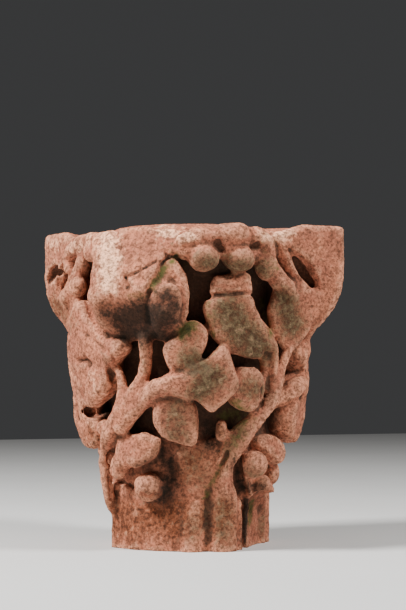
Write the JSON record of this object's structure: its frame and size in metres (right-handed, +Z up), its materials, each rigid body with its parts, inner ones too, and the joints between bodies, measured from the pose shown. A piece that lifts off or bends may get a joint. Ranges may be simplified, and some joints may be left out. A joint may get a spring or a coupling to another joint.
{
  "type": "carved capital",
  "caption": "Carved leaf capital of one sandstone block: round foot, flared bell with leaves and berries, square top with curled corner leaves.",
  "frame": {"origin": "on the axis, in the flat underside where the capital sits on its shaft", "axes": "+Z up along the axis, -Y out of the front face, +X to the right; the broken corner leaf is at the front left"},
  "size_m": [0.288, 0.2826, 0.36],
  "materials": {
    "sandstone": "rough weathered sandstone"
  },
  "bodies": {
    "root": {"capital": "sandstone"}
  },
  "joints": []
}
